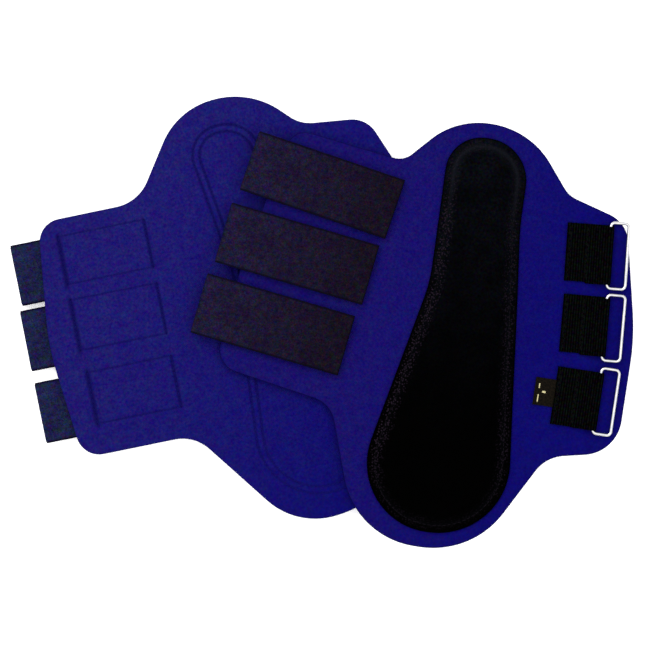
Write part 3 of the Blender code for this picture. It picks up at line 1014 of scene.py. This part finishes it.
def add_pad(boot, materials):
    """A leather strike pad over its foam insert, inflated between its sewn border lines."""
    loop = resampled(boot.pad, PAD_PITCH)
    rings = [inset(loop, d) for d, _ in PAD_SIDE]
    guides = np.vstack([resampled(inset(boot.pad, d), 2.0) for d in PAD_INSET[1:6]])
    plan, faces = filled(rings[-1], guides, PAD_CELL, PAD_SPACING, PAD_MARGIN)
    reach = to_line(plan, boot.pad)
    count, total = len(loop), len(plan)
    sides = [boot.lay(ring, w) for ring, (_, w) in zip(rings[:-1], PAD_SIDE[:-1])]
    points = np.vstack([boot.lay(plan, np.interp(reach, PAD_INSET, PAD_RISE))] + sides)
    starts = [total + k * count for k in range(len(sides))] + [0]
    under = triangulated(rings[0], np.empty((0, 2)))[1]
    faces = boot.facing([list(face) for face in faces] + band_faces(starts, count)
                        + [[total + i for i in reversed(face)] for face in under])
    up = np.array([0.0, 0.0, float(boot.side)])
    fixed = np.concatenate([reach < PAD_PINNED, np.ones(len(points) - total, bool)])
    points = inflate(points, faces, fixed, up)
    height, width = PUCKER
    pucker = height * bell(reach, PAD_SEAM, width)
    wave = np.sin(2 * math.pi * (plan[:, 0] * 0.7 + plan[:, 1]) / (2 * STITCH))
    points[:total] += np.outer(pucker * wave * MM, up)
    obj = make_piece(boot.name + "_strike_pad", points, faces, boot.body, [materials["pad"]])
    smoothing = obj.modifiers.new("smooth", "SUBSURF")
    smoothing.levels = 1
    smoothing.render_levels = 1
    paint_pad(obj, plan, reach)
    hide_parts(boot.name + "_strike_pad_cover", boot.name + "_strike_pad_insert")
    seam = resampled(inset(boot.pad, PAD_SEAM), 1.0)
    sewn(boot.name + "_strike_pad_stitches", boot, obj, [(seam, True)], boot.side > 0,
         materials["black_thread"], PAD_THREAD)


# ======== straps, tabs and labels

def strip_mesh(path, columns, thick, ends=0.35):
    """Points, faces and uv of a strip of cloth along an (x, outwards) path.

    columns are (y, share of the thickness), and thick is one thickness or one a path point."""
    run = run_along(path)
    along = np.gradient(path, axis=0)
    along /= np.linalg.norm(along, axis=1)[:, None]
    normal = np.stack([-along[:, 1], along[:, 0]], axis=1)
    taper = np.minimum(run, run[-1] - run)
    thick = thick * (ends + (1.0 - ends) * fade(taper, 0.0, 0.6))
    ys = np.array([c[0] for c in columns])
    share = np.array([c[1] for c in columns])
    layers = []
    for face in (1, -1):
        offset = face * thick[:, None] * share / 2
        x = path[:, :1] + normal[:, :1] * offset
        z = path[:, 1:] + normal[:, 1:] * offset
        y = np.broadcast_to(ys, x.shape)
        layers.append(np.stack([x, y, z], axis=2))
    rows, width = len(path), len(columns)
    points = np.vstack([layer.reshape(-1, 3) for layer in layers])
    uv = np.stack([np.repeat(run, width), np.tile(ys, rows)], axis=1)
    uv = np.vstack([uv, uv]) * MM
    top, low = np.arange(len(points)).reshape(2, rows, width)
    faces = (quads(top[:-1, :-1], top[1:, :-1], top[1:, 1:], top[:-1, 1:])
             + quads(low[:-1, :-1], low[:-1, 1:], low[1:, 1:], low[1:, :-1]))
    for edge in (np.s_[:, 0], np.s_[::-1, -1], np.s_[0, ::-1], np.s_[-1, :]):
        over, under = top[edge], low[edge]
        faces += quads(over[:-1], under[:-1], under[1:], over[1:])
    return points, faces, uv


def declare_strip(obj, boot, width, path, held, slot, *nodes):
    """Hides the nodes of the model that a strip of cloth stands in for."""
    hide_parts(*[f"{boot.name}_{node}" for node in nodes])


def columns_across(width, spacing, margin, edge_share):
    """Columns of a strip (y, share of the thickness), thinner along its woven edges."""
    half = width / 2
    inner = np.linspace(-half + margin + 0.5, half - margin - 0.5,
                        round((width - 2 * margin - 1.0) / spacing) + 1)
    rim = [(half, 0.30), (half - 0.2 * margin, edge_share * 0.85),
           (half - 0.6 * margin, edge_share), (half - margin, edge_share)]
    left = [(-y, s) for y, s in rim]
    return left + [(y, 1.0) for y in inner] + rim[::-1]


def rough_grid(rng, rows, width, soften):
    """Smoothed random heights on a grid, about 1 at most."""
    values = rng.standard_normal((rows, width))
    for _ in range(soften):
        values = (values + np.roll(values, 1, 0) + np.roll(values, -1, 0)
                  + np.roll(values, 1, 1) + np.roll(values, -1, 1)) / 5
    return values / np.abs(values).max()


def arc_points(radius, start, end, step):
    steps = math.ceil(abs(end - start) / step)
    angles = np.radians(np.linspace(start, end, steps + 1))
    return np.stack([radius * np.cos(angles), radius * np.sin(angles)], axis=1)


def strap_path():
    """Middle of the webbing: in along the base, round the fold and back along the flap."""
    radius = HINGE_W - FACE - STRAP_THICK / 2
    rest = SHELL + STRAP_THICK / 2 - HINGE_W
    base = [(STRAP_REACH - 0.2, rest), (20.0, rest), (9.0, rest + 0.03), (3.0, rest + 0.2),
            (0.3, -radius)]
    bend = arc_points(radius, -95, -265, 12)
    flap = [(0.3, radius), (30.0, radius), (60.0, radius), (STRAP_REACH + 0.3, radius)]
    line = np.vstack([base, bend, flap])
    return resampled(line, 0.9, closed=False)


def add_strap(boot, number, materials, rng):
    """A strap as one length of webbing, folded back round its fold."""
    fold = boot.folds[number - 1]
    path = strap_path()
    columns = columns_across(STRAP_WIDTH, 1.15, 0.9, 0.62)
    points, faces, uv = strip_mesh(path, columns, STRAP_THICK)
    rows, width = len(path), len(columns)
    brushed = np.array([share > 0.9 for _, share in columns])
    pile = rough_grid(rng, rows, width, 1) * brushed * STRAP_PILE
    wave = rough_grid(rng, rows, width, 40) * STRAP_WAVE
    edges = rough_grid(rng, rows, 1, 6)[:, 0] * STRAP_WAVE
    points[:, 2] += np.concatenate([(pile + wave).ravel(), (wave - pile).ravel()])
    points[:, 1] += np.tile(np.repeat(edges, width), 2)
    obj = framed_piece(f"{boot.name}_strap_{number}", boot, fold, (points, faces, uv), None,
                       materials[boot.name + "_loop"])
    run = uv[:rows * width, 0]
    ends = np.minimum(run, run.max() - run) / MM
    selvage = np.tile(np.where(brushed, 0.0, SELVAGE), rows)
    paint(obj, "selvage", np.tile(np.maximum(selvage, 1.0 - fade(ends, 0.0, 1.2)), 2))
    # painted sheen along the strap: strongest at the fold, fading towards the cut end
    out = np.repeat(path[:, 0], width) / STRAP_REACH
    paint(obj, "painted_sheen", np.tile(np.clip(1.05 - out, 0.0, 1.0), 2))
    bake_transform(obj)
    declare_strip(obj, boot, STRAP_WIDTH, path, "folded", "loop_webbing",
                  f"strap_base_{number}", f"strap_flap_{number}")


def add_base_stitches(boot, number, materials):
    """The seam that holds a strap's base, seen when the flap is opened."""
    a, b, c, d = seam_corners(boot, number)
    seams = [stitch_ends(np.array(line), False)
             for line in ((a, b), (b, c), (c, d), (d, a), (a, c), (b, d))]
    starts, ends = (np.vstack(part) for part in zip(*seams))
    level = SHELL + STRAP_THICK + 0.05 - HINGE_W
    add_stitches(f"{boot.name}_strap_stitches_{number}", boot,
                 level_stitches(boot.folds[number - 1], boot, starts, ends, level),
                 materials["black_thread"])


def add_hooks(boot, number, materials):
    """The hook patch under a flap: a woven tape with rows of small curled hooks."""
    path = np.array([[x, (HOOK_TAPE[0] + HOOK_TAPE[1]) / 2 - HINGE_W]
                     for x in np.linspace(*HOOK_SPAN, 40)])
    columns = columns_across(HOOK_WIDTH, 4.0, 1.0, 0.9)
    points, faces, _ = strip_mesh(path, columns, HOOK_TAPE[1] - HOOK_TAPE[0])
    xs = np.arange(HOOK_SPAN[0] + 1.5, HOOK_SPAN[1] - 1.5, HOOK_PITCH)
    ys = np.arange(-HOOK_WIDTH / 2 + 1.6, HOOK_WIDTH / 2 - 1.5, HOOK_PITCH)
    roots = np.array([(x, y) for x in xs for y in ys])
    rings = []
    for dx, w, radius in HOOK_RINGS:
        for cos, sin in circle(HOOK_SIDES, math.pi / 4):
            x = roots[:, 0] + dx + radius * cos
            y = roots[:, 1] + radius * sin
            rings.append(np.stack([x, y, np.full(len(roots), w - HINGE_W)], axis=1))
    hooks = np.stack(rings, axis=1).reshape(-1, 3)
    for first in range(len(points), len(points) + len(hooks), len(rings)):
        faces += tube_faces(first, len(HOOK_RINGS), HOOK_SIDES)
    mesh = (np.vstack([points, hooks]), faces, None)
    obj = framed_piece(f"{boot.name}_hook_patch_{number}", boot, boot.folds[number - 1], mesh,
                       f"{boot.name}_flap_{number}", materials["hook"])
    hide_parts(f"{boot.name}_strap_hooks_{number}")


def tab_path():
    """Middle of the elastic: out along the sheet, round the ring's bar and back."""
    radius = HINGE_W - FACE - TAB_THICK / 2
    low = SHELL + TAB_THICK / 2 - HINGE_W
    high = low + TAB_THICK + 0.02
    under = [(TAB_TAIL, low), (-4.0, low), (-1.5, low + 0.03), (-0.3, -radius)]
    bend = arc_points(radius, -85, 80, 6)
    t = np.linspace(0.0, 1.0, 12)[1:]
    start = bend[-1]
    fall = np.stack([start[0] + (TAB_SEAM - start[0]) * t,
                     start[1] + (high - start[1]) * fade(t, 0.0, 1.0) ** 0.9], axis=1)
    line = np.vstack([under, bend, fall, [(TAB_TAIL + 0.3, high)]])
    return resampled(line, RIB / 8, closed=False)


def add_tab(boot, number, materials, rng):
    """A ribbed elastic tab, folded round its ring's bar and sewn to the sheet."""
    place = boot.tabs[number - 1]
    path = tab_path()
    columns = columns_across(TAB_WIDTH, 3.0, 0.9, 0.7)
    rows, width = len(path), len(columns)
    run = run_along(path)
    out = path[:, 0]
    rib = 0.5 + 0.5 * np.cos(2 * math.pi * run / RIB)
    back = run > run[np.argmax(out)]
    seams = (bell(out, TAB_SEAM, ROW_WIDTH) + bell(out - TAB_TAIL, TAB_MARGIN, ROW_WIDTH)) * back
    thick = TAB_THICK - RIB_DEPTH * (1.0 - rib) - ROW_DEPTH * seams
    points, faces, uv = strip_mesh(path, columns, thick)
    step = fade(out - TAB_SEAM, -1.0, 1.6) * back
    sway = step * TAB_SWAY[number - 1]
    jitter = rough_grid(rng, rows, 1, 3)[:, 0] * 0.10
    points[:, 1] += np.tile(np.repeat(sway + jitter, width), 2)
    obj = framed_piece(f"{boot.name}_elastic_{number}", boot, place, (points, faces, uv),
                       boot.body, materials["elastic"])
    # where the ribs' crests are, for the painted highlight in the elastic's material
    paint(obj, "rib", np.tile(np.repeat(rib ** 2, width), 2))
    declare_strip(obj, boot, TAB_WIDTH, path, "folded", "elastic", f"elastic_tab_{number}")
    sewn(f"{boot.name}_elastic_stitches_{number}", boot, obj,
         [(row, False) for row in tab_seams(boot, place)], boot.side > 0,
         materials["tab_thread"])


def add_ring(boot, number, materials):
    """A smooth wire ring, a rounded rectangle whose inner side is the bar in the elastic."""
    across = RING_WIDTH - RING_WIRE
    half = (RING_LENGTH - RING_WIRE) / 2
    corners = [(0.0, half), (across, half), (across, -half), (0.0, -half)]
    route = rounded_outline([(x, y, RING_BEND) for x, y in corners], 6.0)
    route = resampled(route, 0.7)
    ahead = np.roll(route, -1, axis=0) - np.roll(route, 1, axis=0)
    ahead /= np.linalg.norm(ahead, axis=1)[:, None]
    normal = np.column_stack([ahead[:, 1], -ahead[:, 0], np.zeros(len(route))])
    up = np.array([0.0, 0.0, 1.0])
    middle = np.column_stack([route, np.zeros(len(route))])
    rings = [middle + (normal * cos + up * sin) * RING_WIRE / 2 for cos, sin in circle(RING_SIDES)]
    points = np.stack(rings, axis=1).reshape(-1, 3)
    faces = [face[::-1] for face in tube_faces(0, len(route), RING_SIDES, closed=True)]
    node = f"{boot.name}_ring_{number}"
    obj = framed_piece(f"{boot.name}_wire_ring_{number}", boot, boot.bars[number - 1],
                       (points, faces, None), node, materials["chrome"])
    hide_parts(node)


def add_label(boot, materials):
    """A small woven label under the lowest tab, with plain bars for its marks."""
    place = boot.tabs[2]
    sewn_end = TAB_TAIL + TAB_MARGIN
    length, width = LABEL_SIZE
    xs = np.linspace(TAB_TAIL - length - 0.3, sewn_end, 34)
    out = xs[0] + length - xs
    low = FACE + LABEL_LIFT + LABEL_THICK / 2 - HINGE_W
    curl = 0.5 * fade(out - length, -2.2, 2.2) ** 2
    path = np.stack([xs, np.full(len(xs), low) + curl], axis=1)
    columns = columns_across(width, 1.2, 0.6, 0.9)
    points, faces, uv = strip_mesh(path, columns, LABEL_THICK)
    points[:, 1] += LABEL_SHIFT
    obj = framed_piece(boot.name + "_woven_label", boot, place, (points, faces, uv), boot.body,
                       materials["label"])
    declare_strip(obj, boot, width, path, "laid", "label", "size_label")
    add_label_marks(boot, place, low + LABEL_THICK / 2, materials)


def add_label_marks(boot, place, level, materials):
    """Plain bars of satin stitch: closely laid threads across each bar."""
    starts, ends = [], []
    for x, y, across, along in LABEL_BARS:
        for k in range(round(along / BAR_PITCH)):
            at = y - along / 2 + (k + 0.5) * BAR_PITCH
            starts.append((TAB_TAIL + x - across / 2, at))
            ends.append((TAB_TAIL + x + across / 2, at))
    add_stitches(boot.name + "_label_marks", boot,
                 level_stitches(place, boot, starts, ends, level),
                 materials["cream_thread"], LABEL_THREAD)


def add_boot(boot, materials):
    rng = np.random.default_rng(SEED + boot.side)
    add_sheet(boot, materials)
    add_pad(boot, materials)
    for number in (1, 2, 3):
        add_strap(boot, number, materials, rng)
        add_base_stitches(boot, number, materials)
        add_hooks(boot, number, materials)
        add_tab(boot, number, materials, rng)
        add_ring(boot, number, materials)
    add_label(boot, materials)


# ======== floor, lights and camera

def add_floor():
    mesh = bpy.data.meshes.new("floor")
    corners = [(x * FLOOR_SIZE, y * FLOOR_SIZE, FLOOR_LEVEL)
               for x, y in ((-1, -1), (1, -1), (1, 1), (-1, 1))]
    mesh.from_pydata(corners, [], [(0, 1, 2, 3)])
    graph = Graph("floor_paint", 0.9, 0.0)
    fine = graph.noise(40.0)
    colour = graph.ramp(fine, (0.3, 0.96), (0.7, 0.98))
    graph.shader.inputs["Emission Color"].default_value = (1.0, 1.0, 1.0, 1.0)
    graph.shader.inputs["Emission Strength"].default_value = FLOOR_GLOW
    mesh.materials.append(graph.finish(colour))
    add_object("floor", mesh)


def add_light(name, place, size, power):
    data = bpy.data.lights.new(name, "AREA")
    data.size = size
    data.energy = power
    light = add_object(name, data)
    light.location = place
    light.rotation_euler = (-Vector(place)).to_track_quat("-Z", "Y").to_euler()


def add_sky():
    """A pale room, darker towards the horizon."""
    world = bpy.data.worlds.new("studio")
    bpy.context.scene.world = world
    world.use_nodes = True
    tree = world.node_tree
    background = tree.nodes["Background"]
    background.inputs["Strength"].default_value = WORLD_LIGHT
    place = tree.nodes.new("ShaderNodeTexCoord")
    axes = tree.nodes.new("ShaderNodeSeparateXYZ")
    sky = tree.nodes.new("ShaderNodeValToRGB")
    tree.links.new(place.outputs["Generated"], axes.inputs[0])
    tree.links.new(axes.outputs[2], sky.inputs[0])
    tree.links.new(sky.outputs[0], background.inputs["Color"])
    for element, (height, grey) in zip(sky.color_ramp.elements, SKY):
        element.position = height
        element.color = (grey, grey, grey, 1.0)


def add_camera():
    """A camera straight above the boots, as the photograph was taken."""
    camera = bpy.data.cameras.new("camera")
    camera.lens = CAMERA_LENS
    camera.sensor_width = 36.0
    camera.clip_start = 0.05
    view = add_object("camera", camera)
    view.location = CAMERA_PLACE
    bpy.context.scene.camera = view
    bpy.context.scene.view_settings.view_transform = "Standard"


def main():
    materials = make_materials()
    add_floor()
    lower = Boot("lower")
    world = in_world(lower.outline, lower.place)
    order = convex_hull_2d([Vector(p) for p in world])
    upper = Boot("upper", world[order])
    add_boot(lower, materials)
    add_boot(upper, materials)
    for light in LIGHTS:
        add_light(*light)
    add_sky()
    add_camera()


main()
